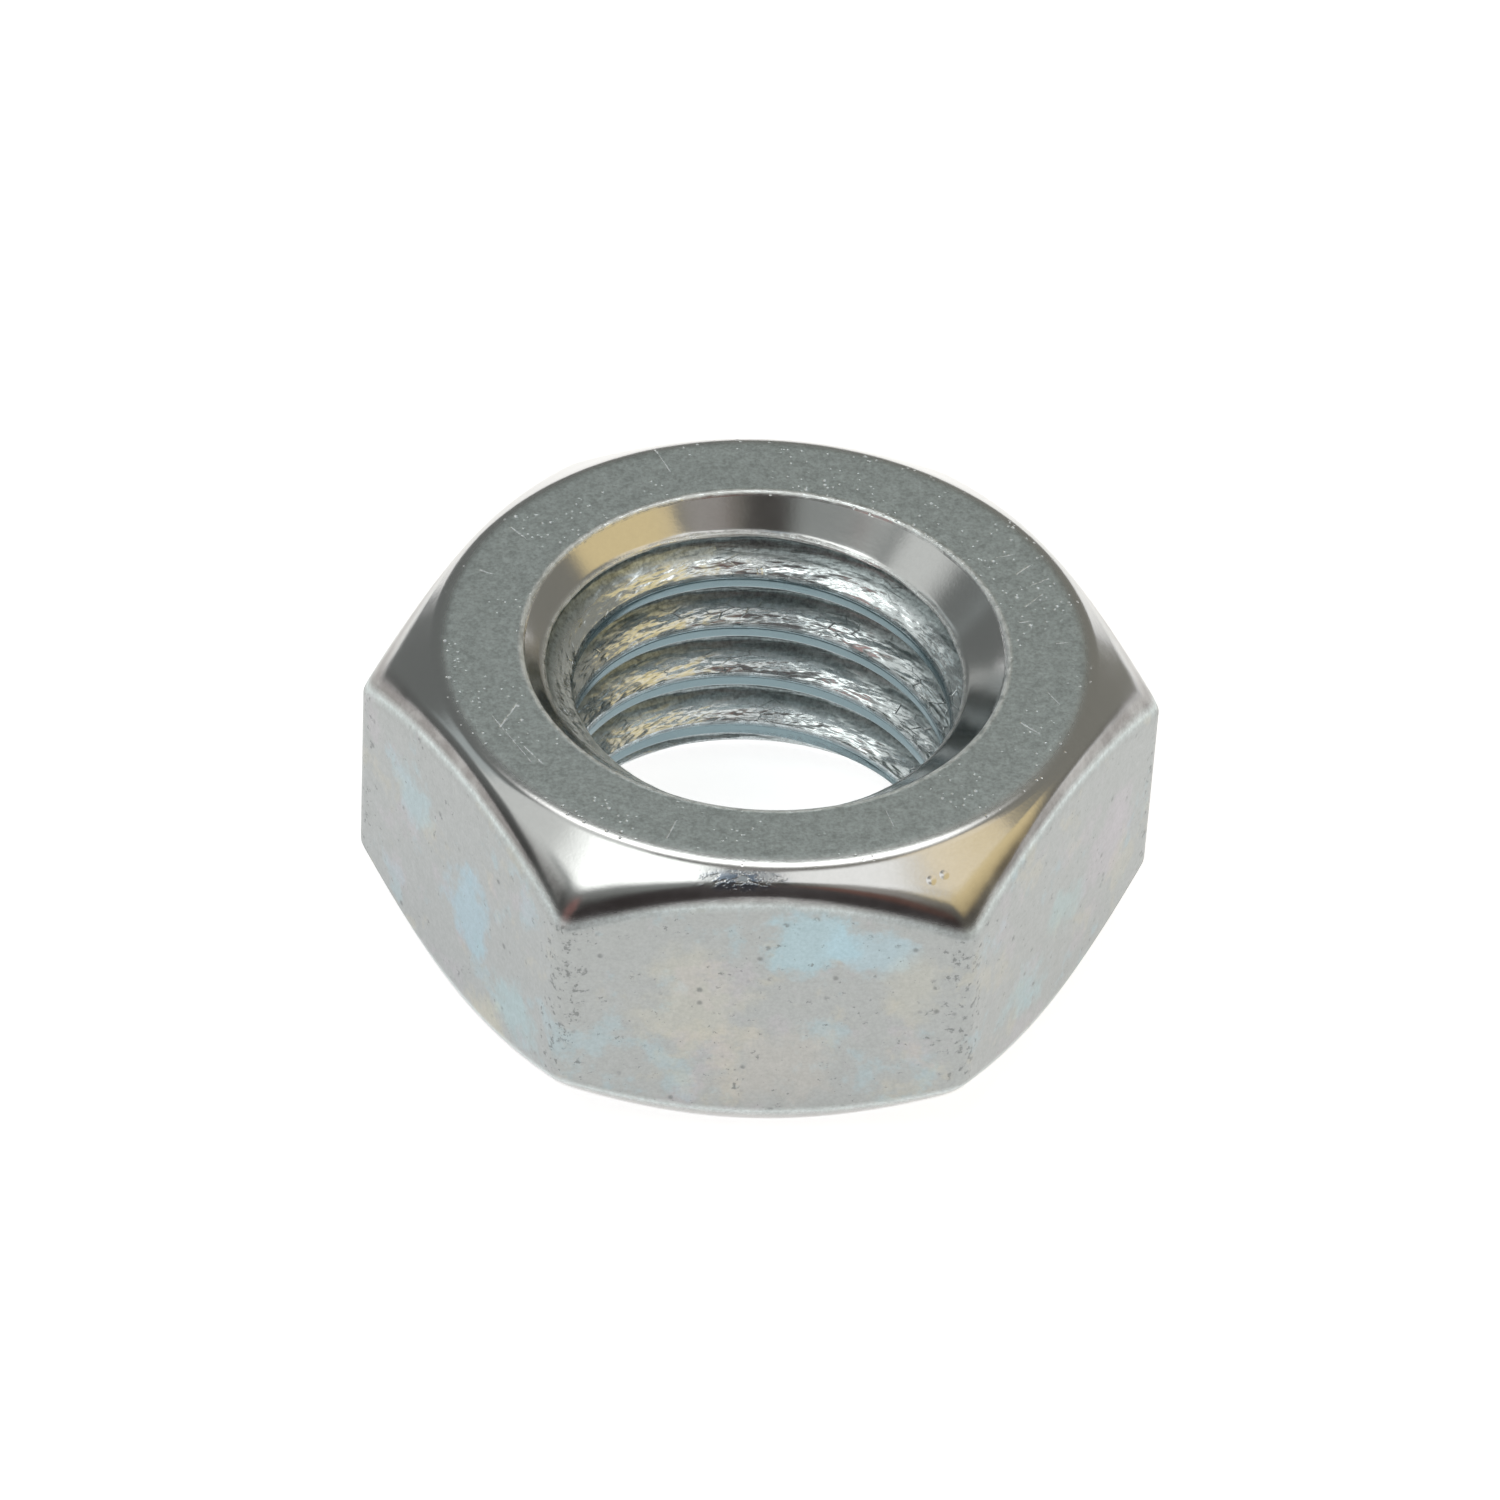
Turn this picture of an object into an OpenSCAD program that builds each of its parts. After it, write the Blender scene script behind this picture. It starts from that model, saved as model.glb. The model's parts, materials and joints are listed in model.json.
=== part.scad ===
// Hex nut: a cold-formed blank with both bearing faces chamfered, countersunk at
// both mouths and tapped right through with a right-hand coarse thread.
// The frame's origin is the centre of the lower bearing face, and +Z runs up the bore.

/* [Body] */
// Width across the flats
across_flats = 15.8; // [15.6:0.05:16]
// Height between the two bearing faces
height = 7.7; // [7.6:0.05:8]
// Radius along the six upright edges
edge_radius = 0.5; // [0.2:0.05:0.8]
// Diameter of the flat ring left on each bearing face
bearing_d = 14.8; // [14.6:0.05:15.2]
// Slope of the corner chamfers below the bearing face, in degrees
chamfer_slope = 36; // [28:1:40]

/* [Thread] */
// Nominal thread diameter, across the roots
thread_d = 10; // [10:0.01:10.1]
// Rise of the thread in one turn
pitch = 1.5; // [1.25:0.25:1.5]
// Bore diameter, across the crests
minor_d = 8.62; // [8.4:0.01:8.67]
// Mouth diameter of the countersinks
sink_d = 11; // [10.2:0.05:11]
// Slope of the countersinks below the bearing face, in degrees
sink_slope = 45; // [30:1:60]
// Height of the crest's middle above the lower face where the thread faces +X
crest_height = 5.55; // [5:0.05:6.4]

/* [Hidden] */
round_facets = 96;
groove_steps = 36;
root_flat = pitch / 8;
flank_slope = tan(30);
clearance = 1;
corner_reach = across_flats / 2 / cos(30);
edge_centre = corner_reach - edge_radius / cos(30);
edge_step = 10;
chamfer_reach = corner_reach + clearance;
chamfer_drop = (chamfer_reach - bearing_d / 2) * tan(chamfer_slope);
sink_depth = (sink_d - minor_d) / 2 * tan(sink_slope);

// Hexagon with its six corners rounded by short arcs, flats facing +Y and -Y
module rounded_hexagon() {
    polygon([
        for (corner = [0:60:300]) for (turn = [-30:edge_step:30])
            edge_centre * [cos(corner), sin(corner)]
                + edge_radius * [cos(corner + turn), sin(corner + turn)]
    ]);
}

// Disc whose two conical rims cut the chamfers
module chamfer_envelope() {
    rotate_extrude($fn = round_facets)
        polygon([
            [0, 0], [bearing_d / 2, 0], [chamfer_reach, chamfer_drop],
            [chamfer_reach, height - chamfer_drop], [bearing_d / 2, height], [0, height]
        ]);
}

// Bore at the crest diameter, opened by a countersink at each mouth
module bore() {
    rotate_extrude($fn = round_facets)
        polygon([
            [0, -clearance], [sink_d / 2, -clearance], [sink_d / 2, 0], [minor_d / 2, sink_depth],
            [minor_d / 2, height - sink_depth], [sink_d / 2, height],
            [sink_d / 2, height + clearance], [0, height + clearance]
        ]);
}

// Section of the thread groove: a flat root and two 60 degree flanks
function groove_section(inset = 0.06) =
    let (mouth = root_flat / 2 + ((thread_d - minor_d) / 2 + inset) * flank_slope)
    [[minor_d / 2 - inset, -mouth], [thread_d / 2, -root_flat / 2],
     [thread_d / 2, root_flat / 2], [minor_d / 2 - inset, mouth]];

// Right-hand helical groove, from below the lower face to above the upper one
module thread_groove() {
    start = crest_height - pitch / 2 - pitch * (ceil(crest_height / pitch) + 1);
    rings = groove_steps * ceil((height + clearance - start) / pitch);
    section = groove_section();
    corners = len(section);
    points = [
        for (i = [0:rings]) let (a = 360 * i / groove_steps)
            for (p = section) [p[0] * cos(a), p[0] * sin(a), start + p[1] + pitch * i / groove_steps]
    ];
    walls = [
        for (i = [0:rings - 1]) for (j = [0:corners - 1])
            let (a = corners * i + j, b = corners * i + (j + 1) % corners)
                each [[a, b, a + corners], [b, b + corners, a + corners]]
    ];
    first_cap = [for (j = [corners - 1:-1:0]) j];
    last_cap = [for (j = [0:corners - 1]) corners * rings + j];
    polyhedron(points = points, faces = concat(walls, [first_cap, last_cap]), convexity = 10);
}

module nut() {
    color("silver")
        difference() {
            intersection() {
                linear_extrude(height) rounded_hexagon();
                chamfer_envelope();
            }
            bore();
            thread_groove();
        }
}

nut();
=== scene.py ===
"""Looks of a zinc-plated hex nut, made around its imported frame.

The nut is one closed surface. A Geometry Nodes tree lays a grid round it twice:
once round the bore's axis, and once along the outline from the middle of the
flats over a bearing face, down the countersink, along the thread and back.
"""

import json
import logging
import math
from dataclasses import dataclass, field, fields
from enum import Enum
from typing import Any, Dict, List, Optional, Sequence, Tuple, Union

import bpy
from mathutils import Matrix, Vector


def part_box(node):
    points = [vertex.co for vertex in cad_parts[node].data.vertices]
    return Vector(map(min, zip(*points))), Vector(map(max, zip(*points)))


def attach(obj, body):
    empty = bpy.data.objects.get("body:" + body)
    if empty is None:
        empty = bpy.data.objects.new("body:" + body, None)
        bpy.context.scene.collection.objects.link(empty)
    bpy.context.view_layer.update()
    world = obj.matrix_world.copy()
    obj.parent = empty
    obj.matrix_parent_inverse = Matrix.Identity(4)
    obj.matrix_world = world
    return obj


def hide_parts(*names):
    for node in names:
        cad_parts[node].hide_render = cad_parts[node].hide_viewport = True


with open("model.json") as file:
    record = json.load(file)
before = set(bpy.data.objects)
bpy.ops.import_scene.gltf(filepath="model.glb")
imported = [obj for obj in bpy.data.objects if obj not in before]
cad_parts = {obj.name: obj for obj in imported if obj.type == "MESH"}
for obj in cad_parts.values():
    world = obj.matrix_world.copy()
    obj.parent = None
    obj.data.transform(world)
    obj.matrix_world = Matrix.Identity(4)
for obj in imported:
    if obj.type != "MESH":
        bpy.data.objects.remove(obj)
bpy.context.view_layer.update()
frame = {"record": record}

LOG = logging.getLogger("hex_nut")
MM = 0.001
TURN = 2 * math.pi

Colour = Tuple[float, float, float]


class Outline(Enum):
    """The stretches of the nut's outline, from the middle of a flat to the bore."""

    FLAT = "flat"
    SHOULDER = "shoulder"
    CHAMFER = "chamfer"
    RING_EDGE = "ring edge"
    RING = "ring"
    MOUTH_EDGE = "mouth edge"
    SINK = "sink"


class Mask(Enum):
    """Point attributes that tell the finishes where they are; RIM marks burred edges and crest lines, which
    carry a painted highlight.
    """

    FLATS = "flats"
    POLISH = "polish"
    SHOULDER = "shoulder"
    RIM = "rim"
    THREAD = "thread"
    LAND = "land"
    ROOT = "root"


# --------------------------------------------------------------------------
# Node trees written as expressions
# --------------------------------------------------------------------------


class Wire:
    """A node's output on which Python arithmetic adds Math nodes."""

    def __init__(self, graph: "Graph", socket: bpy.types.NodeSocket) -> None:
        """Keeps the output and the graph that it belongs to."""
        self.graph = graph
        self.socket = socket

    def __add__(self, other: "Value") -> "Wire":
        """self + other."""
        return self.graph.math("ADD", self, other)

    def __radd__(self, other: "Value") -> "Wire":
        """other + self."""
        return self.graph.math("ADD", other, self)

    def __sub__(self, other: "Value") -> "Wire":
        """self - other."""
        return self.graph.math("SUBTRACT", self, other)

    def __rsub__(self, other: "Value") -> "Wire":
        """other - self."""
        return self.graph.math("SUBTRACT", other, self)

    def __mul__(self, other: "Value") -> "Wire":
        """self * other."""
        return self.graph.math("MULTIPLY", self, other)

    def __rmul__(self, other: "Value") -> "Wire":
        """other * self."""
        return self.graph.math("MULTIPLY", other, self)

    def __truediv__(self, other: "Value") -> "Wire":
        """self / other."""
        return self.graph.math("DIVIDE", self, other)

    def __rtruediv__(self, other: "Value") -> "Wire":
        """other / self."""
        return self.graph.math("DIVIDE", other, self)

    def __neg__(self) -> "Wire":
        """-self."""
        return self.graph.math("MULTIPLY", self, -1.0)

    def __abs__(self) -> "Wire":
        """The size of self, without its sign."""
        return self.graph.math("ABSOLUTE", self)

    def __gt__(self, other: "Value") -> "Wire":
        """1 where self is above other, and 0 elsewhere."""
        return self.graph.math("GREATER_THAN", self, other)

    def __lt__(self, other: "Value") -> "Wire":
        """1 where self is below other, and 0 elsewhere."""
        return self.graph.math("LESS_THAN", self, other)


Value = Union[Wire, float, int]


class Graph:
    """A node tree, shader or geometry, whose nodes are added by calls."""

    def __init__(self, tree: bpy.types.NodeTree) -> None:
        """Keeps the tree that the nodes go into."""
        self.tree = tree

    def node(
        self,
        kind: str,
        settings: Optional[Dict[str, Any]] = None,
        inputs: Optional[Dict[Union[str, int], Any]] = None,
    ) -> bpy.types.Node:
        """Adds a node.

        Args:
            kind: the node's type name.
            settings: its properties, set before its sockets.
            inputs: values or wires by socket name or number.

        Returns:
            The new node.
        """
        node = self.tree.nodes.new(kind)
        for name, value in (settings or {}).items():
            setattr(node, name, value)
        for key, value in (inputs or {}).items():
            if isinstance(value, Wire):
                self.tree.links.new(value.socket, node.inputs[key])
            else:
                node.inputs[key].default_value = value
        return node

    def wire(
        self,
        kind: str,
        settings: Optional[Dict[str, Any]] = None,
        inputs: Optional[Dict[Union[str, int], Any]] = None,
        output: Union[str, int] = 0,
    ) -> Wire:
        """Adds a node and gives one of its outputs.

        Args:
            kind: the node's type name.
            settings: its properties, set before its sockets.
            inputs: values or wires by socket name or number.
            output: the output's name or number.

        Returns:
            The output as a wire.
        """
        return Wire(self, self.node(kind, settings, inputs).outputs[output])

    def math(self, operation: str, *terms: Value) -> Wire:
        """One Math node on the given terms."""
        return self.wire("ShaderNodeMath", {"operation": operation}, dict(enumerate(terms)))

    def vector(self, operation: str, *terms: Any) -> Wire:
        """One Vector Math node on the given terms."""
        return self.wire("ShaderNodeVectorMath", {"operation": operation}, dict(enumerate(terms)))

    def scaled(self, vector: Wire, factor: Value) -> Wire:
        """The vector times a number."""
        return self.wire("ShaderNodeVectorMath", {"operation": "SCALE"}, {0: vector, "Scale": factor})

    def join(self, x: Value, y: Value, z: Value) -> Wire:
        """A vector from three numbers."""
        return self.wire("ShaderNodeCombineXYZ", None, {"X": x, "Y": y, "Z": z})

    def split(self, vector: Wire) -> Tuple[Wire, Wire, Wire]:
        """The three numbers of a vector."""
        node = self.node("ShaderNodeSeparateXYZ", None, {0: vector})
        return Wire(self, node.outputs[0]), Wire(self, node.outputs[1]), Wire(self, node.outputs[2])

    def blend(self, share: Value, start: Any, end: Any) -> Wire:
        """A vector or point between start and end, by a share from 0 to 1."""
        return self.wire(
            "ShaderNodeMix", {"data_type": "VECTOR"}, {0: share, 4: start, 5: end}, output=1
        )

    def tint(self, share: Value, start: Any, end: Any, how: str = "MIX") -> Wire:
        """A colour between two others.

        Args:
            share: how much of end is used, from 0 to 1.
            start: the first colour.
            end: the second colour.
            how: the blend type.

        Returns:
            The mixed colour.
        """
        return self.wire(
            "ShaderNodeMix",
            {"data_type": "RGBA", "blend_type": how},
            {0: share, 6: opaque(start), 7: opaque(end)},
            output=2,
        )

    def between(self, value: Value, low: float, high: float) -> Wire:
        """A smooth rise from 0 at low to 1 at high, or a fall where high is the smaller."""
        return self.wire(
            "ShaderNodeMapRange",
            {"interpolation_type": "SMOOTHSTEP"},
            {"Value": value, "From Min": low, "From Max": high},
        )

    def noise(self, where: Wire, scale: float, detail: float = 2.0, rough: float = 0.5) -> Wire:
        """Smooth random values round 0.5.

        Args:
            where: the place to read.
            scale: bumps per unit of length.
            detail: finer layers on top.
            rough: how strong the finer layers are.

        Returns:
            The noise.
        """
        return self.wire(
            "ShaderNodeTexNoise",
            None,
            {"Vector": where, "Scale": scale, "Detail": detail, "Roughness": rough},
            output=0,
        )

    def cells(self, where: Wire, scale: float, feature: str = "F1") -> Wire:
        """Distance in a pattern of random cells.

        Args:
            where: the place to read.
            scale: cells per unit of length.
            feature: which distance is measured.

        Returns:
            The distance.
        """
        inputs = {"Vector": where, "Scale": scale}
        return self.wire("ShaderNodeTexVoronoi", {"feature": feature}, inputs, "Distance")

    def gap(self, where: Wire, point: Any) -> Wire:
        """The distance from a place to a point."""
        inputs = {0: where, 1: point}
        return self.wire("ShaderNodeVectorMath", {"operation": "DISTANCE"}, inputs, "Value")


def opaque(colour: Any) -> Any:
    """A colour with its alpha, or a wire as it is."""
    return colour if isinstance(colour, Wire) else (*colour, 1.0)


# --------------------------------------------------------------------------
# The nut's surface
# --------------------------------------------------------------------------


@dataclass(frozen=True)
class NutSizes:
    """Sizes of the nut in metres, each a named input of the surface's tree."""

    across_flats: float
    height: float
    crest_radius: float
    edge_radius: float = 0.55 * MM
    ring_radius: float = 7.37 * MM
    chamfer_slope: float = math.radians(36)
    shoulder_rise: float = 0.40 * MM
    shoulder_pull: float = 0.14 * MM
    shoulder_drop: float = 0.42 * MM
    ring_edge_inside: float = 0.28 * MM
    ring_edge_outside: float = 0.22 * MM
    mouth_radius: float = 5.5 * MM
    mouth_edge_reach: float = 0.12 * MM
    burr: float = 0.048 * MM
    ring_dent: float = 0.13 * MM
    sink_slope: float = math.radians(45)
    sink_end: float = 0.24 * MM
    root_radius: float = 4.985 * MM
    pitch: float = 1.5 * MM
    crest_height: float = 5.55 * MM
    wave: float = 0.018 * MM
    tear: float = 0.070 * MM


@dataclass
class HexNut:
    """The nut: its sizes, the grid that covers it and its finish."""

    sizes: NutSizes
    columns: int = 288
    rows_per_pitch: int = 36
    crowding: float = 0.62
    land_share: float = 0.095
    flank_end: float = 0.4375
    torn_reach: float = 4.3
    torn_squash: float = 6.0
    stretch_rows: Dict[Outline, int] = field(
        default_factory=lambda: {
            Outline.FLAT: 16,
            Outline.SHOULDER: 11,
            Outline.CHAMFER: 13,
            Outline.RING_EDGE: 8,
            Outline.RING: 12,
            Outline.MOUTH_EDGE: 7,
            Outline.SINK: 10,
        }
    )

    @property
    def half_rows(self) -> int:
        """Rows from the middle of a flat to the thread."""
        return sum(self.stretch_rows.values())

    @property
    def thread_rows(self) -> int:
        """Rows along the thread, with one pitch more for the helix's rise."""
        climb = (self.sizes.height - 2 * self.sizes.sink_end) / self.sizes.pitch
        return math.ceil(self.rows_per_pitch * (climb + 1))

    @property
    def rows(self) -> int:
        """Rows all the way round the outline."""
        return 2 * self.half_rows + self.thread_rows

    def build(self, material: bpy.types.Material) -> bpy.types.Object:
        """Makes the nut as a plain mesh.

        Args:
            material: the finish of the whole surface.

        Returns:
            The nut's object, at the origin.
        """
        holder = bpy.data.objects.new("nut_grid", bpy.data.meshes.new("nut_grid"))
        bpy.context.scene.collection.objects.link(holder)
        tree = self.surface_tree(material)
        modifier = holder.modifiers.new("surface", "NODES")
        modifier.node_group = tree
        for item in tree.interface.items_tree:
            if item.item_type == "SOCKET" and item.in_out == "INPUT" and item.name in SIZE_NAMES:
                modifier[item.identifier] = getattr(self.sizes, item.name)
        bpy.context.view_layer.update()
        graph = bpy.context.evaluated_depsgraph_get()
        mesh = bpy.data.meshes.new_from_object(
            holder.evaluated_get(graph), preserve_all_data_layers=True, depsgraph=graph
        )
        mesh.name = "hex_nut"
        bpy.data.objects.remove(holder)
        nut = bpy.data.objects.new("hex_nut", mesh)
        bpy.context.scene.collection.objects.link(nut)
        return nut

    def surface_tree(self, material: bpy.types.Material) -> bpy.types.NodeTree:
        """Builds the tree that bends a flat grid into the nut.

        Args:
            material: the finish of the whole surface.

        Returns:
            The geometry tree, with the sizes as its named inputs.
        """
        tree = bpy.data.node_groups.new("nut_surface", "GeometryNodeTree")
        tree.interface.new_socket("Geometry", in_out="OUTPUT", socket_type="NodeSocketGeometry")
        for name in SIZE_NAMES:
            tree.interface.new_socket(name, in_out="INPUT", socket_type="NodeSocketFloat")
        g = Graph(tree)
        entry = g.node("NodeGroupInput")
        size = {name: Wire(g, entry.outputs[name]) for name in SIZE_NAMES}

        grid = g.wire(
            "GeometryNodeMeshGrid",
            None,
            {"Size X": 1.0, "Size Y": 1.0, "Vertices X": self.rows + 1, "Vertices Y": self.columns + 1},
        )
        across, round_, _ = g.split(g.wire("GeometryNodeInputPosition"))
        row = g.math("ROUND", (across + 0.5) * self.rows)
        share = round_ + 0.5
        angle = share * TURN - g.math("SINE", share * (6 * TURN)) * (self.crowding / 6)

        point, masks = self.outline_point(g, size, row, angle)
        radius, height, _ = g.split(point)
        place = g.join(radius * g.math("COSINE", angle), radius * g.math("SINE", angle), height)
        shape = grid
        for mask, value in masks.items():
            shape = g.wire(
                "GeometryNodeStoreNamedAttribute",
                {"data_type": "FLOAT", "domain": "POINT"},
                {"Geometry": shape, "Name": mask.value, "Value": value},
            )
        shape = g.wire("GeometryNodeSetPosition", None, {"Geometry": shape, "Position": place})
        shape = g.wire("GeometryNodeMergeByDistance", None, {"Geometry": shape, "Distance": 0.002 * MM})
        shape = g.wire("GeometryNodeFlipFaces", None, {0: shape})
        shape = g.wire("GeometryNodeSetShadeSmooth", None, {0: shape, 2: True})
        shape = g.wire("GeometryNodeRealizeInstances", None, {0: shape})
        shape = g.wire("GeometryNodeSetMaterial", None, {"Geometry": shape, "Material": material})
        g.node("NodeGroupOutput", None, {0: shape})
        return tree

    def outline_point(
        self, g: Graph, size: Dict[str, Wire], row: Wire, angle: Wire
    ) -> Tuple[Wire, Dict[Mask, Wire]]:
        """Radius and height of each grid point, with the masks there.

        Args:
            g: the tree's graph.
            size: the named sizes.
            row: the point's row number.
            angle: its angle round the axis, in radians.

        Returns:
            The point as (radius, height, 0), and a value for each mask.
        """
        half, last = self.half_rows, self.rows
        lower = row > (half + self.thread_rows - 0.5)
        step = g.math("MINIMUM", row, last - row)
        reach = self.flat_reach(g, size, angle)
        front = g.math("MAXIMUM", -g.math("SINE", angle), 0.0)
        ring_radius = size["ring_radius"] - front * front * size["ring_dent"]
        outside, masks = self.half_outline(g, size, step, reach, ring_radius)
        radius, depth, _ = g.split(outside)
        height = size["height"] * (1 - lower) + depth * (lower * 2 - 1)

        bored = (row > (half + 0.5)) * (row < (half + self.thread_rows - 0.5))
        bore_radius, bore_height, bore_masks = self.thread_point(g, size, row - half, angle)
        point = g.blend(bored, g.join(radius, height, 0.0), g.join(bore_radius, bore_height, 0.0))
        both = {
            mask: masks.get(mask, 0.0) * (1 - bored) + bore_masks.get(mask, 0.0) * bored
            for mask in Mask
        }
        return point, both

    def flat_reach(self, g: Graph, size: Dict[str, Wire], angle: Wire) -> Wire:
        """Distance from the axis to the flats and their round upright edges.

        Args:
            g: the tree's graph.
            size: the named sizes.
            angle: the angle round the axis, in radians.

        Returns:
            The distance.
        """
        sixth = TURN / 6
        half_width = size["across_flats"] / 2
        off_flat = abs(g.math("FLOORED_MODULO", angle, sixth) - sixth / 2)
        flat = half_width / g.math("COSINE", off_flat)
        off_corner = sixth / 2 - off_flat
        centre = (half_width - size["edge_radius"]) / math.cos(sixth / 2)
        sideways = centre * g.math("SINE", off_corner)
        inside = size["edge_radius"] * size["edge_radius"] - sideways * sideways
        edge = centre * g.math("COSINE", off_corner) + g.math("SQRT", g.math("MAXIMUM", inside, 0.0))
        run_out = (1 - size["edge_radius"] / half_width) * math.tan(sixth / 2)
        on_edge = g.math("TANGENT", off_flat) > run_out
        ring = g.join(g.math("COSINE", angle), g.math("SINE", angle), 0.0)
        wave = (g.noise(ring, 2.6, 2.0) - 0.62) * size["wave"]
        return flat * (1 - on_edge) + edge * on_edge + g.math("MINIMUM", wave, 0.0)

    def half_outline(
        self, g: Graph, size: Dict[str, Wire], step: Wire, reach: Wire, ring_radius: Wire
    ) -> Tuple[Wire, Dict[Mask, Wire]]:
        """The outline from the middle of a flat to the thread, as (radius, depth, 0).

        Args:
            g: the tree's graph.
            size: the named sizes.
            step: rows from the middle of the flat.
            reach: the flat's distance from the axis.
            ring_radius: the bearing face's outer radius there.

        Returns:
            The point, and the masks on this half.
        """
        fall = g.math("TANGENT", size["chamfer_slope"])
        middle = g.join(reach, size["height"] / 2, 0.0)
        shoulder = g.join(reach, (reach - ring_radius) * fall, 0.0)
        ring_edge = g.join(ring_radius, 0.0, 0.0)
        mouth = g.join(size["mouth_radius"], 0.0, 0.0)
        sink_end = g.join(self.sink_radius(g, size, size["sink_end"]), size["sink_end"], 0.0)

        cornering = (reach / size["across_flats"] * 2 - 1) / (1 / math.cos(TURN / 12) - 1)
        s_in = self.step_back(g, shoulder, middle, size["shoulder_drop"])
        s_pull = self.step_back(g, shoulder, ring_edge, size["shoulder_pull"] * (cornering + 1))
        s_out = self.step_back(g, shoulder, ring_edge, size["shoulder_rise"] * (cornering * 1.6 + 1))
        r_in = self.step_back(g, ring_edge, shoulder, size["ring_edge_outside"])
        r_out = self.step_back(g, ring_edge, mouth, size["ring_edge_inside"])
        m_in = self.step_back(g, mouth, ring_edge, size["mouth_edge_reach"])
        m_out = g.join(
            self.sink_radius(g, size, size["mouth_edge_reach"] * 0.7), size["mouth_edge_reach"] * 0.7, 0.0
        )
        stretches: List[Tuple[Outline, Sequence[Wire]]] = [
            (Outline.FLAT, (middle, s_in)),
            (Outline.SHOULDER, (s_in, s_pull, s_out)),
            (Outline.CHAMFER, (s_out, r_in)),
            (Outline.RING_EDGE, (r_in, ring_edge, r_out)),
            (Outline.RING, (r_out, m_in)),
            (Outline.MOUTH_EDGE, (m_in, mouth, m_out)),
            (Outline.SINK, (m_out, sink_end)),
        ]
        point, first = middle, 0
        along: Dict[Outline, Wire] = {}
        for name, corners in stretches:
            count = self.stretch_rows[name]
            share = g.math("MINIMUM", g.math("MAXIMUM", (step - first) / count, 0.0), 1.0)
            along[name] = share
            point = g.blend(step > first, point, self.curve(g, corners, share))
            first += count
        shoulder = along[Outline.SHOULDER]
        masks = {
            Mask.FLATS: 1 - g.between(shoulder, 0.0, 0.25),
            Mask.POLISH: g.between(shoulder, 0.1, 0.5)
            * (1 - g.between(along[Outline.RING_EDGE], 0.35, 0.95))
            + g.between(along[Outline.MOUTH_EDGE], 0.1, 0.6),
            Mask.SHOULDER: g.between(shoulder, 0.16, 0.36) * (1 - g.between(shoulder, 0.50, 0.95)),
            Mask.RIM: g.between(along[Outline.MOUTH_EDGE], 0.0, 0.4)
            * (1 - g.between(along[Outline.MOUTH_EDGE], 0.6, 1.0)),
        }
        return point, masks

    @staticmethod
    def sink_radius(g: Graph, size: Dict[str, Wire], depth: Value) -> Wire:
        """Radius of the countersink at a depth.

        Args:
            g: the tree's graph.
            size: the named sizes.
            depth: how far below the bearing face.

        Returns:
            The radius.
        """
        return size["mouth_radius"] - depth / g.math("TANGENT", size["sink_slope"])

    @staticmethod
    def step_back(g: Graph, corner: Wire, towards: Wire, reach: Wire) -> Wire:
        """The point where a corner's rounding meets one of its straight sides.

        Args:
            g: the tree's graph.
            corner: the corner that is rounded.
            towards: the far end of the side.
            reach: how far from the corner the rounding ends.

        Returns:
            The point on the side.
        """
        away = g.vector("NORMALIZE", g.vector("SUBTRACT", towards, corner))
        return g.vector("ADD", corner, g.scaled(away, reach))

    @staticmethod
    def curve(g: Graph, corners: Sequence[Wire], share: Wire) -> Wire:
        """A point on a straight line of two points or on a curve of three.

        Args:
            g: the tree's graph.
            corners: two points, or three with the middle one pulling.
            share: how far along, from 0 to 1.

        Returns:
            The point.
        """
        if len(corners) == 2:
            return g.blend(share, corners[0], corners[1])
        first = g.blend(share, corners[0], corners[1])
        second = g.blend(share, corners[1], corners[2])
        return g.blend(share, first, second)

    def thread_point(
        self, g: Graph, size: Dict[str, Wire], step: Wire, angle: Wire
    ) -> Tuple[Wire, Wire, Dict[Mask, Wire]]:
        """Radius and height on the thread, whose rows follow the helix.

        Args:
            g: the tree's graph.
            size: the named sizes.
            step: rows below the top of the thread.
            angle: the angle round the axis, in radians.

        Returns:
            The radius, the height and the masks on the thread.
        """
        pitch, low = size["pitch"], size["sink_end"]
        high = size["height"] - low
        rise = angle / TURN
        turns = (self.thread_rows - step) / self.rows_per_pitch
        row_gap = pitch / self.rows_per_pitch
        height = low - pitch + pitch * (rise + turns)
        height = height + (high - height) * ((high - height) < (row_gap * 0.45))
        height = height + (low - height) * ((height - low) < (row_gap * 0.45))

        phase = (height - size["crest_height"]) / pitch - rise + 0.5
        above_crest = g.math("FRACT", phase) - 0.5
        off_crest = abs(above_crest)
        slope = (off_crest - self.land_share) / (self.flank_end - self.land_share)
        groove = g.math("SMOOTH_MIN", g.math("SMOOTH_MAX", slope, 0.0, 0.20), 1.0, 0.26)
        radius = size["crest_radius"] + groove * (size["root_radius"] - size["crest_radius"])

        edge_gap = g.math("MINIMUM", height, size["height"] - height)
        cone = self.sink_radius(g, size, edge_gap)
        threaded = g.between((radius - cone) / MM, -0.02, 0.05)

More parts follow.
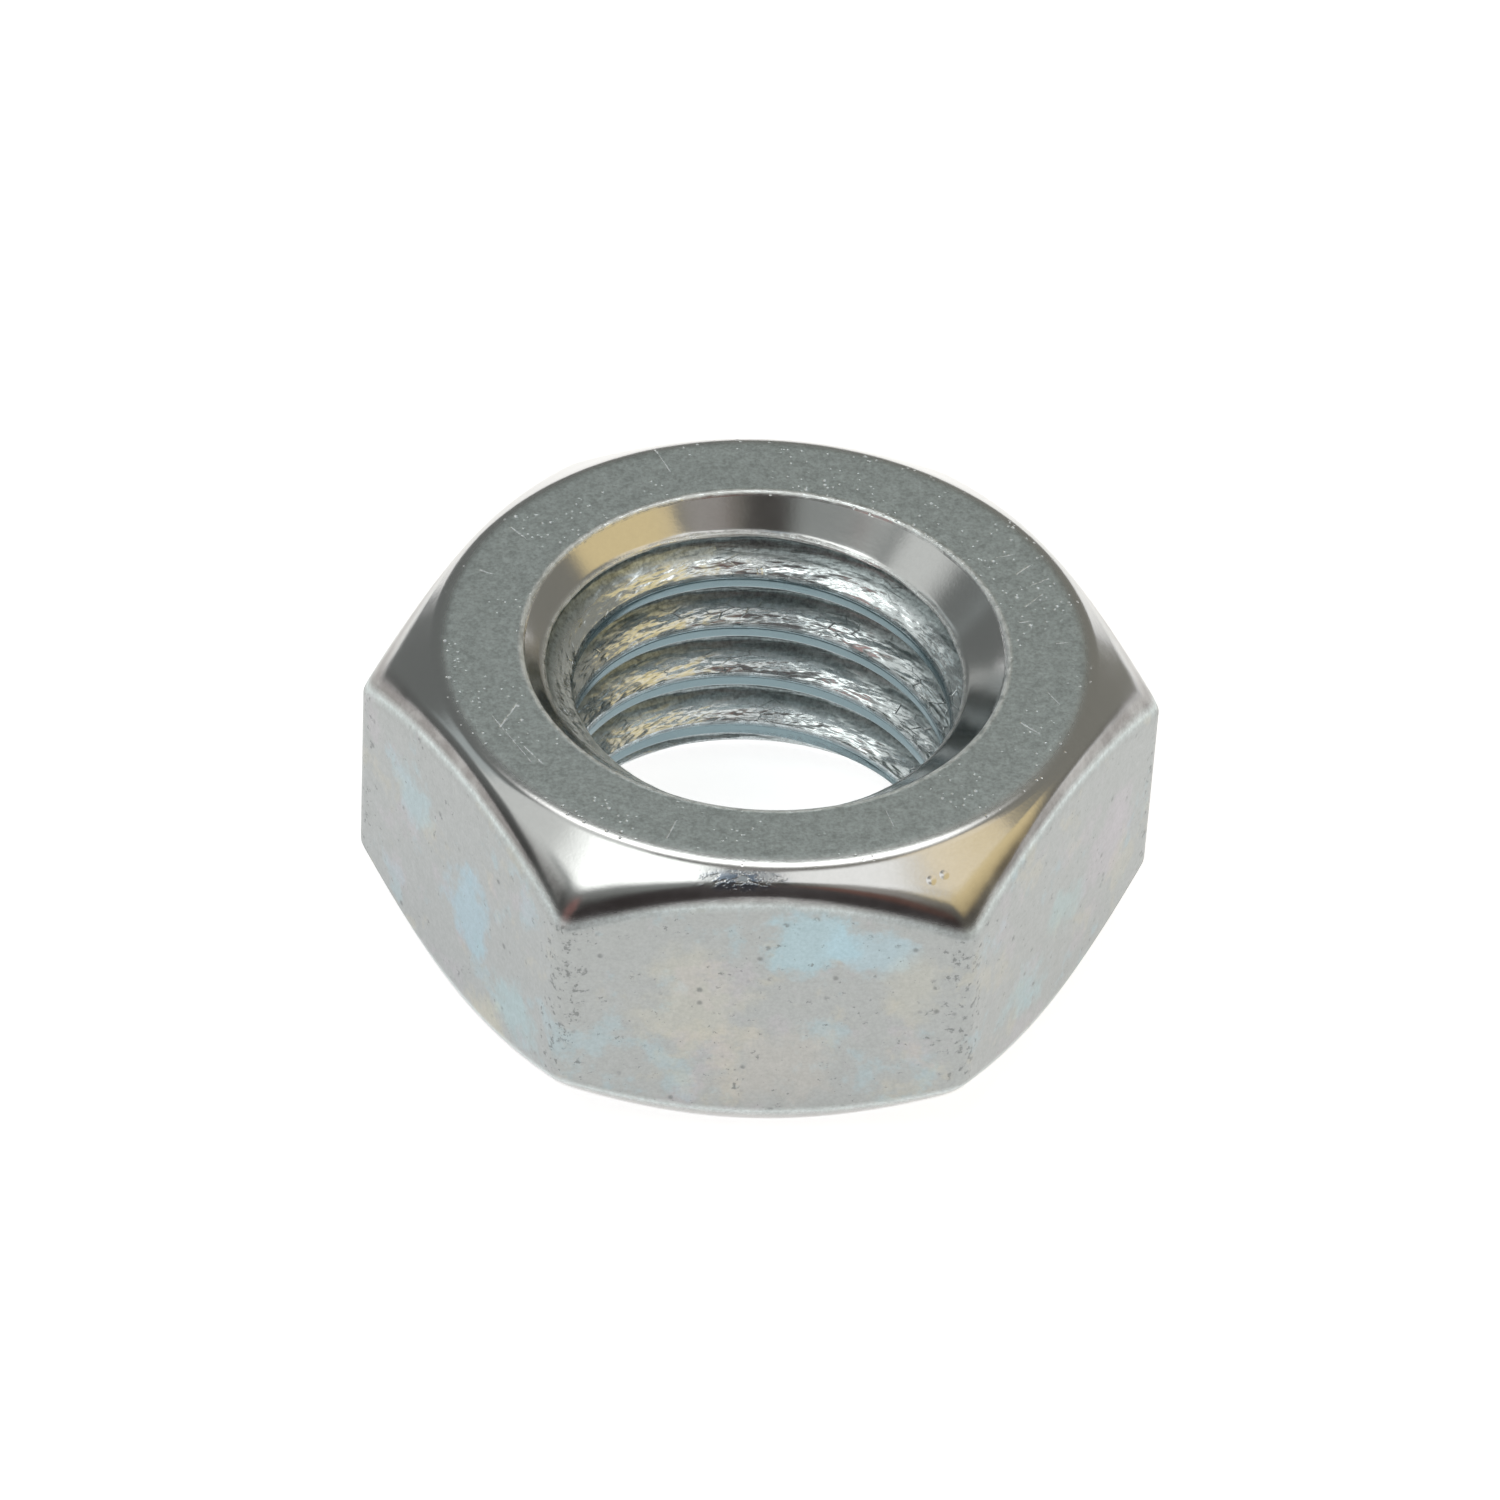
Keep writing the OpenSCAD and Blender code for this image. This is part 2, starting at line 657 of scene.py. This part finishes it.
        reach, squash = self.torn_reach, self.torn_squash
        where = g.join(
            g.math("COSINE", angle) * reach, g.math("SINE", angle) * reach, height / MM * squash
        )
        torn = (g.noise(where, 0.9, 3.0, 0.58) - 0.5) * size["tear"]
        on_flank = g.between(slope, 0.04, 0.30)
        radius = radius + torn * (on_flank + 0.12)
        radius = g.math("MAXIMUM", radius, size["crest_radius"])
        lip = g.between(abs(radius - cone) / MM, 0.24, 0.04) * (1 - g.between(slope, 0.9, 1.0) * 0.4)
        ragged = g.noise(where, 1.3, 3.0, 0.6) * 1.2
        radius = g.math("SMOOTH_MAX", radius, cone, 0.06 * MM) - lip * ragged * size["burr"]
        # The crest's upper edge line; through the RIM mask it gets a painted highlight, as the lip line
        # does.
        burr = g.between(slope, -0.10, 0.02) * g.between(slope, 0.16, 0.04) * (above_crest > 0.0)
        masks = {
            Mask.THREAD: threaded,
            Mask.LAND: threaded * (1 - g.between(slope, -0.05, 0.12)),
            Mask.ROOT: threaded * g.between(slope, 0.35, 0.85) * (1 - lip),
            Mask.RIM: g.math("MAXIMUM", lip * 0.9, burr * threaded * 0.8),
        }
        masks[Mask.POLISH] = 1 - threaded
        return radius, height, masks


SIZE_NAMES = [size_field.name for size_field in fields(NutSizes)]


# --------------------------------------------------------------------------
# Finishes
# --------------------------------------------------------------------------


@dataclass(frozen=True)
class Finish:
    """Colour and roughness of one kind of plated surface."""

    colour: Colour
    roughness: float
    spread: float


@dataclass(frozen=True)
class Stain:
    """A faint coloured patch in the passivate film, with ragged edges, in millimetres."""

    x: float
    y: float
    z: float
    radius: float
    colour: Colour
    amount: float


@dataclass(frozen=True)
class Scratch:
    """A short bright line on the upper bearing face, in millimetres."""

    x: float
    y: float
    end_x: float
    end_y: float
    width: float = 0.03


@dataclass(frozen=True)
class ZincPlate:
    """Bright zinc plating with a clear blue-white passivate over steel, sizes in millimetres."""

    top: float
    upright_edge: Tuple[float, float] = (8.72, 8.94)
    worn_x: float = 5.9
    worn_y: float = 2.4
    ring: Finish = Finish((0.60, 0.665, 0.67), 0.40, 0.16)
    polish: Finish = Finish((0.62, 0.62, 0.615), 0.15, 0.04)
    # rim: a whitish painted highlight on the burred lip and crest lines; its roughness is the edges' own.
    rim: Finish = Finish((0.78, 0.82, 0.82), 0.32, 0.10)
    # flats: the side faces' plating tone, kept darker than the other faces as painted shade.
    flats: Finish = Finish((0.382, 0.398, 0.398), 0.34, 0.10)
    thread: Finish = Finish((0.71, 0.755, 0.765), 0.22, 0.12)
    # root: the groove roots' colour is painted shade, darker than the flanks where the ridge above shades
    # them.
    root: Finish = Finish((0.345, 0.39, 0.395), 0.36, 0.12)
    # land: the crest lands' colour is painted shade, kept dark blue-grey instead of the plating's tone.
    land: Finish = Finish((0.225, 0.30, 0.325), 0.22, 0.06)
    film_blue: Colour = (0.36, 0.53, 0.60)
    film_yellow: Colour = (0.60, 0.54, 0.38)
    film_lilac: Colour = (0.56, 0.47, 0.55)
    painted_shoulder_shade: Colour = (0.16, 0.145, 0.14)
    smudge: Colour = (0.16, 0.17, 0.17)
    bare: Colour = (0.78, 0.84, 0.88)
    crease_shade_colour: Colour = (0.20, 0.25, 0.33)
    crease: Tuple[float, float, float] = (-0.75, -7.62, 7.49)
    crease_narrowing: Tuple[float, float, float] = (0.72, 3.2, 3.2)
    dimples: Tuple[Tuple[float, float, float], ...] = ((3.60, -7.16, 7.25), (3.89, -6.98, 7.27))
    stains: Tuple[Stain, ...] = (
        Stain(0.9, -7.9, 5.9, 1.1, (0.36, 0.53, 0.60), 0.75),
        Stain(2.3, -7.9, 5.7, 0.9, (0.38, 0.54, 0.62), 0.65),
        Stain(-1.6, -7.9, 4.4, 1.3, (0.56, 0.53, 0.42), 0.35),
        Stain(3.3, -7.9, 4.6, 0.9, (0.56, 0.53, 0.42), 0.30),
        Stain(0.4, -7.9, 2.2, 1.4, (0.56, 0.50, 0.44), 0.30),
        Stain(-6.6, -4.6, 3.4, 1.1, (0.34, 0.52, 0.62), 0.7),
        Stain(-5.5, -6.2, 2.2, 1.2, (0.36, 0.54, 0.58), 0.6),
        Stain(-8.0, -2.2, 4.9, 0.9, (0.37, 0.54, 0.60), 0.55),
        Stain(-6.0, -5.6, 0.9, 1.0, (0.60, 0.56, 0.40), 0.5),
        Stain(6.9, -3.9, 3.6, 0.8, (0.36, 0.55, 0.56), 0.42),
        Stain(8.1, -1.9, 3.9, 1.2, (0.54, 0.46, 0.54), 0.32),
        Stain(6.0, -5.4, 2.2, 1.0, (0.36, 0.54, 0.58), 0.5),
    )
    scratches: Tuple[Scratch, ...] = (
        Scratch(5.95, 1.60, 6.35, 2.05),
        Scratch(6.10, 2.35, 6.50, 2.60),
        Scratch(5.80, 2.75, 6.10, 3.05),
        Scratch(5.35, 3.30, 5.75, 3.45, 0.025),
        Scratch(5.80, 1.05, 6.05, 1.10),
        Scratch(6.60, 0.35, 6.90, 0.40, 0.025),
        Scratch(-5.40, 3.55, -5.75, 3.95),
        Scratch(-6.20, 2.30, -6.45, 2.42),
        Scratch(-2.10, 6.10, -2.45, 6.90, 0.025),
        Scratch(-5.55, -2.10, -5.95, -2.95, 0.035),
        Scratch(-5.40, -3.60, -5.00, -4.15, 0.03),
        Scratch(-6.15, -2.55, -5.25, -4.10, 0.022),
        Scratch(-2.05, -5.95, -2.25, -6.50),
        Scratch(2.60, -5.45, 2.75, -5.95, 0.025),
        Scratch(5.70, -2.40, 6.10, -2.75),
        Scratch(6.35, -1.35, 6.60, -1.75, 0.025),
    )

    def material(self) -> bpy.types.Material:
        """Builds the plating's material.

        Returns:
            The material.
        """
        material = bpy.data.materials.new("zinc_plate")
        material.use_nodes = True
        material.node_tree.nodes.clear()
        g = Graph(material.node_tree)
        place = g.scaled(g.wire("ShaderNodeTexCoord", output="Object"), 1 / MM)
        mask = {
            name: g.wire(
                "ShaderNodeAttribute",
                {"attribute_type": "GEOMETRY", "attribute_name": name.value},
                output="Fac",
            )
            for name in Mask
        }
        nicks = self.nicks(g, place)
        specks = self.specks(g, place, mask)
        # Painted highlight: in ragged patches along the RIM lines the plating turns whitish and less
        # metallic.
        painted_rim_glint = mask[Mask.RIM] * g.between(g.noise(place, 4.5, 3.0, 0.65), 0.34, 0.56)
        shader = g.node(
            "ShaderNodeBsdfPrincipled",
            None,
            {
                "Metallic": 1 - g.math("MAXIMUM", nicks * 0.9, painted_rim_glint * 0.75),
                "Base Color": self.colour(g, place, mask, nicks, specks),
                "Roughness": self.roughness(g, place, mask, nicks),
                "Normal": self.relief(g, place, mask, nicks),
            },
        )
        g.node("ShaderNodeOutputMaterial", None, {"Surface": Wire(g, shader.outputs[0])})
        return material

    def nicks(self, g: Graph, place: Wire) -> Wire:
        """Bright nicks and scratches on the upper bearing face.

        Args:
            g: the material's graph.
            place: the place in millimetres.

        Returns:
            1 on a nick and 0 elsewhere.
        """
        x, y, z = g.split(place)
        ragged = g.noise(place, 9.0, 3.0, 0.7)
        total: Value = 0.0
        for scratch in self.scratches:
            run, climb = scratch.end_x - scratch.x, scratch.end_y - scratch.y
            length = math.hypot(run, climb)
            right, away = x - scratch.x, y - scratch.y
            along = (right * run + away * climb) / length
            across = abs(away * run - right * climb) / length
            beyond = g.math("MAXIMUM", abs(along - length / 2) - length / 2, 0.0)
            gap = g.math("MAXIMUM", across, beyond) - (ragged - 0.5) * (scratch.width * 1.5)
            mark = g.between(gap, scratch.width, scratch.width * 0.2)
            total = g.math("MAXIMUM", total, mark) if isinstance(total, Wire) else mark
        total = total * g.between(ragged, 0.36, 0.48)
        near_worn = g.between(abs(y - self.worn_y) + abs(x - self.worn_x), 3.4, 0.8)
        worn = g.noise(place, 0.55, 2.0) + near_worn * 0.14
        dots = g.between(g.cells(place, 2.4), 0.14, 0.05) * g.between(worn, 0.50, 0.58)
        dust = g.between(g.cells(place, 5.2), 0.22, 0.10) * g.between(worn, 0.44, 0.58) * 0.7
        total = g.math("MAXIMUM", total, g.math("MAXIMUM", dots, dust))
        return total * g.between(z, self.top - 0.10, self.top - 0.02)

    def specks(self, g: Graph, place: Wire, mask: Dict[Mask, Wire]) -> Wire:
        """Dark specks and smudges on the flats, thicker by the upright edges.

        Args:
            g: the material's graph.
            place: the place in millimetres.
            mask: the masks by name.

        Returns:
            1 on a speck and 0 elsewhere.
        """
        x, y, _ = g.split(place)
        radius = g.math("SQRT", x * x + y * y)
        edges = g.between(radius, *self.upright_edge)
        ragged = g.noise(place, 5.0, 4.0, 0.7)
        small = g.between(g.cells(place, 1.9), 0.20, 0.06) * g.between(g.noise(place, 0.8, 2.0), 0.46, 0.56)
        smudges = g.between(ragged + edges * 0.07 + mask[Mask.SHOULDER] * 0.08, 0.625, 0.70)
        return g.math("MAXIMUM", small * g.between(ragged, 0.38, 0.50), smudges) * mask[Mask.FLATS]

    def colour(
        self, g: Graph, place: Wire, mask: Dict[Mask, Wire], nicks: Wire, specks: Wire
    ) -> Wire:
        """Colour of the plating and of the films on it, with painted shade on the flats, shoulders,
        wrinkles, groove roots and crest lands, and a painted highlight on the rim lines.

        Args:
            g: the material's graph.
            place: the place in millimetres.
            mask: the masks by name.
            nicks: where the bearing face is nicked.
            specks: where the flats are specked.

        Returns:
            The base colour.
        """
        tone = g.tint(mask[Mask.FLATS], self.ring.colour, self.flats.colour)
        tone = g.tint(mask[Mask.POLISH], tone, self.polish.colour)
        tone = g.tint(mask[Mask.RIM], tone, self.rim.colour)
        tone = g.tint(mask[Mask.THREAD], tone, self.thread.colour)
        tone = g.tint(mask[Mask.ROOT], tone, self.root.colour)
        tone = g.tint(mask[Mask.LAND], tone, self.land.colour)
        film = mask[Mask.FLATS] * 0.75
        for shift, hue, amount in (
            (11.0, self.film_blue, 0.40),
            (37.0, self.film_yellow, 0.24),
            (71.0, self.film_lilac, 0.20),
        ):
            shifted = g.vector("ADD", place, (shift, -shift, 0.5 * shift))
            patch = g.between(g.noise(shifted, 0.50, 6.0, 0.64), 0.56, 0.64)
            tone = g.tint(patch * film * amount, tone, hue)
        wobble = g.noise(place, 0.75, 6.0, 0.66)
        for stain in self.stains:
            gap = g.gap(place, (stain.x, stain.y, stain.z)) / stain.radius + (wobble - 0.5) * 3.6
            tone = g.tint(g.between(gap, 1.15, 0.45) * film * stain.amount, tone, stain.colour)
        _, _, z = g.split(place)
        # Painted shade: a dark band along each shoulder, stronger on the upper one, standing in for the
        # dark surroundings that the shoulders reflect.
        upper = g.between(z, 3.0, 5.0) * 0.6 + 0.4
        shoulder_shade_amount = (g.between(wobble, 0.30, 0.62) * 0.35 + 0.45) * upper
        tone = g.tint(mask[Mask.SHOULDER] * shoulder_shade_amount, tone, self.painted_shoulder_shade)
        tone = g.tint(specks * 0.7, tone, self.smudge)
        tone = g.tint(nicks * 0.9, tone, self.bare)
        # Painted shade: the wrinkles are darkened blue-grey as if their creases were in shade.
        tone = g.tint(self.creased(g, place) * 0.75, tone, self.crease_shade_colour)
        plain = (1 - mask[Mask.POLISH]) * (1 - mask[Mask.THREAD])
        uneven = plain * 0.50 - mask[Mask.FLATS] * 0.36 + mask[Mask.ROOT] * 0.9 + 0.05
        coarse = g.between(g.noise(place, 3.4, 4.0, 0.70), 0.25, 0.75)
        sandy = g.between(g.noise(place, 11.0, 2.0, 0.70), 0.30, 0.70)
        shade = ((coarse + sandy) / 2 - 0.5) * uneven + 1
        return g.tint(1.0, tone, g.join(shade, shade, shade), "MULTIPLY")

    def creased(self, g: Graph, place: Wire) -> Wire:
        """The small wrinkled patch that the forming die left on the front chamfer.

        Args:
            g: the material's graph.
            place: the place in millimetres.

        Returns:
            1 on a wrinkle and 0 elsewhere.
        """
        away = g.vector("MULTIPLY", g.vector("SUBTRACT", place, self.crease), self.crease_narrowing)
        length = g.gap(away, (0.0, 0.0, 0.0))
        ridges = g.noise(g.vector("MULTIPLY", place, (1.0, 1.6, 1.6)), 3.2, 3.0, 0.6)
        return g.between(length, 1.05, 0.45) * g.between(ridges, 0.46, 0.60)

    def roughness(self, g: Graph, place: Wire, mask: Dict[Mask, Wire], nicks: Wire) -> Wire:
        """Roughness of each kind of surface, with its own fine spread.

        Args:
            g: the material's graph.
            place: the place in millimetres.
            mask: the masks by name.
            nicks: where the bearing face is nicked.

        Returns:
            The roughness.
        """
        fine = g.noise(place, 6.0, 4.0, 0.6) - 0.5
        value: Value = self.ring.roughness
        spread: Value = self.ring.spread
        for name, finish in (
            (Mask.FLATS, self.flats),
            (Mask.POLISH, self.polish),
            (Mask.RIM, self.rim),
            (Mask.THREAD, self.thread),
            (Mask.ROOT, self.root),
            (Mask.LAND, self.land),
        ):
            value = mask[name] * (finish.roughness - value) + value
            spread = mask[name] * (finish.spread - spread) + spread
        return value + fine * spread + nicks * 0.2

    def relief(self, g: Graph, place: Wire, mask: Dict[Mask, Wire], nicks: Wire) -> Wire:
        """Fine relief: grain on the faces, streaks and cracks on the thread.

        Args:
            g: the material's graph.
            place: the place in millimetres.
            mask: the masks by name.
            nicks: where the bearing face is nicked.

        Returns:
            The bumped normal.
        """
        grain = g.noise(place, 14.0, 4.0, 0.6) * (1 - mask[Mask.POLISH] * 0.8) * 0.005
        grain = grain + g.noise(place, 0.8, 1.0) * mask[Mask.POLISH] * 0.012
        grain = grain + g.noise(place, 4.0, 3.0, 0.6) * mask[Mask.RIM] * 0.03
        long_place = g.vector("MULTIPLY", place, (1.0, 1.0, 5.0))
        streaks = g.noise(long_place, 1.15, 2.5, 0.50) * 0.12
        cracks = g.between(g.cells(long_place, 1.6, "DISTANCE_TO_EDGE"), 0.0, 0.04)
        broken = g.between(g.noise(place, 0.9, 2.0), 0.50, 0.62)
        torn = streaks - (1 - cracks) * broken * 0.014
        torn = torn * mask[Mask.THREAD] * (1 - mask[Mask.LAND] * 0.95) * (1 - mask[Mask.ROOT] * 0.6)
        height = grain * (1 - mask[Mask.THREAD]) + torn - nicks * 0.02 + self.creased(g, place) * 0.006
        for dimple in self.dimples:
            height = height + g.between(g.gap(place, dimple), 0.15, 0.04) * 0.014
        return g.wire("ShaderNodeBump", None, {"Strength": 1.0, "Distance": MM, "Height": height})


# --------------------------------------------------------------------------
# Studio
# --------------------------------------------------------------------------


@dataclass(frozen=True)
class Panel:
    """A soft-edged panel on the studio's dome, placed as seen from straight above.

    The dome's rim is 1 from its middle; x runs to the right and y away from the camera.
    """

    name: str
    x: float
    y: float
    half_x: float
    half_y: float
    soft: float
    colour: Colour
    turn: float = 0.0


@dataclass
class Studio:
    """Floor, dome of light and camera round the nut."""

    centre: Vector
    dome_left: Colour = (0.185, 0.195, 0.19)
    dome_right: Colour = (0.265, 0.258, 0.228)
    panels: Tuple[Panel, ...] = (
        Panel("ceiling", 0.0, 0.18, 0.42, 0.16, 0.12, (2.7, 2.7, 2.66)),
        Panel("left_fill", -0.75, 0.28, 0.08, 0.17, 0.05, (0.50, 0.55, 0.55)),
        Panel("left_softbox", -0.60, -0.08, 0.30, 0.22, 0.03, (0.80, 0.82, 0.80), -12.0),
        Panel("left_low", -0.46, -0.46, 0.34, 0.14, 0.05, (0.33, 0.35, 0.34), -30.0),
        Panel("left_core", -0.35, -0.31, 0.24, 0.12, 0.09, (2.1, 2.15, 2.1), -24.0),
        Panel("gold_glow", 0.60, -0.10, 0.18, 0.12, 0.05, (1.12, 0.98, 0.74), 60.0),
        Panel("gold_card", 0.76, -0.20, 0.34, 0.12, 0.04, (0.92, 0.75, 0.42), 60.0),
        Panel("right_softbox", 0.28, -0.36, 0.24, 0.10, 0.07, (1.30, 1.30, 1.28), 12.0),
        Panel("right_low", 0.36, -0.57, 0.12, 0.08, 0.04, (0.40, 0.38, 0.36), 25.0),
        Panel("gap", 0.0, -0.20, 0.11, 0.10, 0.05, (0.30, 0.29, 0.28)),
        Panel("gap_front", -0.06, -0.41, 0.10, 0.06, 0.04, (0.32, 0.38, 0.42)),
        Panel("camera_shade", 0.0, -0.68, 0.15, 0.14, 0.07, (0.07, 0.065, 0.06)),
        Panel("front_shade", 0.0, -0.96, 0.80, 0.24, 0.06, (0.11, 0.10, 0.10)),
        Panel("pink_left", -0.70, -0.58, 0.14, 0.10, 0.05, (0.58, 0.34, 0.32)),
        Panel("pink_right", 0.34, -0.72, 0.16, 0.07, 0.05, (0.22, 0.12, 0.10)),
    )
    backdrop: Colour = (1.0, 1.0, 1.0)
    backdrop_top: Tuple[float, float] = (0.055, 0.04)
    floor_colour: Colour = (0.86, 0.86, 0.86)
    floor_glow: float = 0.66
    floor_size: float = 3.0
    elevation: float = math.radians(41.48)
    azimuth: float = math.radians(-2.98)
    roll: float = math.radians(3.35)
    distance: float = 0.1896
    lens: float = 201.7
    aim_right: float = -0.000341
    aim_up: float = -0.002329

    def build(self) -> None:
        """Makes the floor, the dome of light and the camera."""
        self.build_floor()
        self.build_dome()
        self.build_camera()
        bpy.context.scene.view_settings.view_transform = "Standard"

    def build_floor(self) -> None:
        """Makes the plain pale floor under the nut."""
        half = self.floor_size / 2
        mesh = bpy.data.meshes.new("floor")
        corners = [(-half, -half, 0), (half, -half, 0), (half, half, 0), (-half, half, 0)]
        mesh.from_pydata(corners, [], [(0, 1, 2, 3)])
        floor = bpy.data.objects.new("floor", mesh)
        bpy.context.scene.collection.objects.link(floor)
        material = bpy.data.materials.new("pale_floor")
        material.use_nodes = True
        shader = material.node_tree.nodes["Principled BSDF"]
        shader.inputs["Base Color"].default_value = opaque(self.floor_colour)
        shader.inputs["Roughness"].default_value = 0.9
        shader.inputs["Emission Color"].default_value = opaque((1.0, 1.0, 1.0))
        shader.inputs["Emission Strength"].default_value = self.floor_glow
        mesh.materials.append(material)

    def build_dome(self) -> None:
        """Lights the nut from a grey dome with soft panels on it."""
        world = bpy.data.worlds.new("studio")
        world.use_nodes = True
        world.node_tree.nodes.clear()
        g = Graph(world.node_tree)
        x, y, z = g.split(g.wire("ShaderNodeTexCoord", output="Generated"))
        glow = g.tint(g.between(x, -0.5, 0.5), self.dome_left, self.dome_right)
        for panel in self.panels:
            turn = math.radians(panel.turn)
            right, away = x - panel.x, y - panel.y
            along = abs(right * math.cos(turn) + away * math.sin(turn))
            across = abs(away * math.cos(turn) - right * math.sin(turn))
            share = g.between(along, panel.half_x + panel.soft, panel.half_x - panel.soft)
            share = share * g.between(across, panel.half_y + panel.soft, panel.half_y - panel.soft)
            glow = g.tint(share, glow, panel.colour)
        glow = g.tint(g.between(z, *self.backdrop_top), glow, self.backdrop)
        background = g.node("ShaderNodeBackground", None, {"Color": glow, "Strength": 1.0})
        g.node("ShaderNodeOutputWorld", None, {"Surface": Wire(g, background.outputs[0])})
        bpy.context.scene.world = world

    def build_camera(self) -> None:
        """Sets the camera in front of the nut, looking down at the front flat."""
        back = Vector(
            (
                math.sin(self.azimuth) * math.cos(self.elevation),
                -math.cos(self.azimuth) * math.cos(self.elevation),
                math.sin(self.elevation),
            )
        )
        level = Vector((math.cos(self.azimuth), math.sin(self.azimuth), 0.0))
        upright = back.cross(level)
        right = math.cos(self.roll) * level + math.sin(self.roll) * upright
        up = math.cos(self.roll) * upright - math.sin(self.roll) * level
        aim = self.centre + self.aim_right * right + self.aim_up * up
        place = aim + self.distance * back
        data = bpy.data.cameras.new("camera")
        data.lens = self.lens
        data.sensor_width = 36.0
        data.clip_start = 0.01
        data.clip_end = 10.0
        camera = bpy.data.objects.new("camera", data)
        camera.matrix_world = Matrix(
            (
                (right.x, up.x, back.x, place.x),
                (right.y, up.y, back.y, place.y),
                (right.z, up.z, back.z, place.z),
                (0.0, 0.0, 0.0, 1.0),
            )
        )
        bpy.context.scene.collection.objects.link(camera)
        bpy.context.scene.camera = camera


# --------------------------------------------------------------------------
# Putting it together
# --------------------------------------------------------------------------


def frame_sizes() -> NutSizes:
    """Reads the nut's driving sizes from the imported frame.

    Returns:
        The sizes, in metres.
    """
    low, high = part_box("nut")
    mounts = {mount["name"]: mount for mount in frame["record"]["mounts"]}
    return NutSizes(
        across_flats=high.y - low.y,
        height=high.z - low.z,
        crest_radius=mounts["thread"]["dims"]["r_mm"] * MM,
    )


def main() -> None:
    """Builds the nut and the studio round it."""
    logging.basicConfig(level=logging.INFO, format="%(name)s: %(message)s")
    sizes = frame_sizes()
    nut = HexNut(sizes).build(ZincPlate(top=sizes.height / MM).material())
    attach(nut, "root")
    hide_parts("nut")
    LOG.info("hex_nut: %d points, %d faces", len(nut.data.vertices), len(nut.data.polygons))
    Studio(centre=Vector((0.0, 0.0, sizes.height))).build()


if __name__ == "__main__":
    main()
